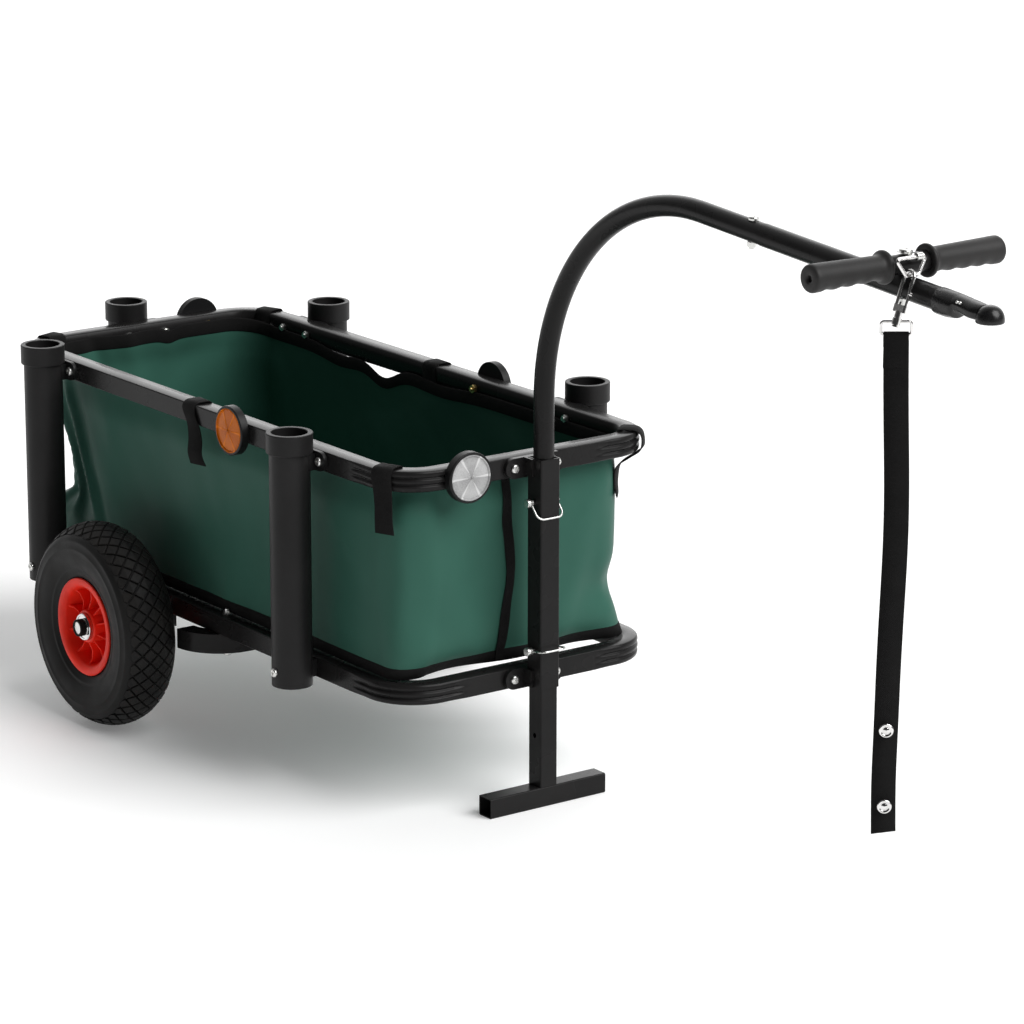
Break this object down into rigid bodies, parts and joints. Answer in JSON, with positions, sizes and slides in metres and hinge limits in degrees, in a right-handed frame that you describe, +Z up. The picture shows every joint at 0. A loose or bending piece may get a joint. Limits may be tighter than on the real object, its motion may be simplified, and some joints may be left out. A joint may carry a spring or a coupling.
{
  "type": "beach cart",
  "caption": "Two-wheeled beach cart with a fabric tub between bent-tube rings, rod holders, a stand and a gooseneck drawbar with T-handle and strap.",
  "frame": {"origin": "on the floor under the centre of the whole cart's outline", "axes": "+X forward along the drawbar, +Y to the left, +Z up"},
  "size_m": [1.7636, 0.6018, 0.7937],
  "materials": {
    "frame_black": "satin black powder coat",
    "holder_plastic": "matt",
    "zinc_steel": "bright zinc",
    "chrome_wire": "polished",
    "tyre_black": "matt",
    "rim_red": "gloss",
    "grip_rubber": "matt",
    "cap_black": "matt",
    "bag_green": "coated tarpaulin, slight sheen",
    "webbing_black": "woven",
    "lens_amber": "prismatic",
    "lens_clear": "prismatic",
    "lens_red": "prismatic"
  },
  "bodies": {
    "frame": {"axle": "zinc_steel", "axle_brackets": "frame_black", "axle_caps": "cap_black", "axle_spacers": "frame_black", "bag": "bag_green", "bag_band": "webbing_black", "bag_ties": "webbing_black", "bottom_ring_front": "frame_black", "bottom_ring_rear": "frame_black", "column_bolts": "zinc_steel", "column_brackets": "frame_black", "column_sleeve": "frame_black", "coupler_body": "holder_plastic", "coupler_cup": "holder_plastic", "drawbar": "frame_black", "grip_far": "grip_rubber", "grip_near": "grip_rubber", "guard_bar": "frame_black", "guard_bolts": "zinc_steel", "handle_bolt": "zinc_steel", "handlebar": "frame_black", "joint_bolt": "zinc_steel", "lock_pin_lower": "zinc_steel", "lock_pin_upper": "zinc_steel", "mast": "frame_black", "reflector_bolts": "zinc_steel", "reflector_housings": "holder_plastic", "reflector_lens_far": "lens_amber", "reflector_lens_front": "lens_clear", "reflector_lens_near": "lens_amber", "reflector_lens_rear": "lens_red", "ring_hanger": "zinc_steel", "ring_joiners": "frame_black", "rod_bolts": "zinc_steel", "rod_clips": "holder_plastic", "rod_pipe_far_front": "holder_plastic", "rod_pipe_far_rear": "holder_plastic", "rod_pipe_near_front": "holder_plastic", "rod_pipe_near_rear": "holder_plastic", "rod_pipe_rear": "holder_plastic", "stand_foot": "frame_black", "stand_leg": "frame_black", "top_ring_front": "frame_black", "top_ring_rear": "frame_black", "wing_nut": "zinc_steel"},
    "wheel_near": {"tyre_near": "tyre_black", "rim_near": "rim_red", "bearings_near": "chrome_wire"},
    "wheel_far": {"tyre_far": "tyre_black", "rim_far": "rim_red", "bearings_far": "chrome_wire"},
    "bow_upper": {"lock_bow_upper": "zinc_steel"},
    "bow_lower": {"lock_bow_lower": "zinc_steel"},
    "ring": {"delta_ring": "chrome_wire"},
    "hook": {"hook_body": "chrome_wire"},
    "gate": {"hook_gate": "chrome_wire"},
    "swivel": {"hook_loop": "chrome_wire"},
    "strap": {"strap": "webbing_black", "strap_studs": "chrome_wire"}
  },
  "joints": [
    {"name": "wheel_near_spin", "type": "hinge", "parent": "frame", "child": "wheel_near", "pos_m": [-0.4917, -0.261, 0.132], "axis": [0, 1, 0], "continuous": true},
    {"name": "wheel_far_spin", "type": "hinge", "parent": "frame", "child": "wheel_far", "pos_m": [-0.4917, 0.261, 0.132], "axis": [0, 1, 0], "continuous": true},
    {"name": "bow_upper_lift", "type": "hinge", "parent": "frame", "child": "bow_upper", "pos_m": [0.0973, 0, 0.38], "axis": [0, 1, 0], "range_deg": [-98, 0]},
    {"name": "bow_lower_lift", "type": "hinge", "parent": "frame", "child": "bow_lower", "pos_m": [0.0973, 0, 0.196], "axis": [0, 1, 0], "range_deg": [-41.5, 57.5]},
    {"name": "ring_swing", "type": "hinge", "parent": "frame", "child": "ring", "pos_m": [0.75457, -0.0115, 0.78712], "axis": [0, -1, 0], "range_deg": [0, 25]},
    {"name": "hook_swing", "type": "hinge", "parent": "ring", "child": "hook", "pos_m": [0.75721, -0.0154, 0.7683], "axis": [0, 1, 0], "range_deg": [-35, 15]},
    {"name": "gate_slide", "type": "slide", "parent": "hook", "child": "gate", "axis": [0, -0.342, -0.9397], "range_m": [0, 0.009], "stiffness_N_per_m": 150, "springref_m": -0.01},
    {"name": "swivel_turn", "type": "hinge", "parent": "hook", "child": "swivel", "pos_m": [0.75721, -0.03182, 0.7218], "axis": [0, 0.342, 0.9397], "continuous": true},
    {"name": "strap_swing", "type": "hinge", "parent": "swivel", "child": "strap", "pos_m": [0.75721, -0.03182, 0.7078], "axis": [0.5878, 0.809, 0], "range_deg": [-30, 30]}
  ]
}
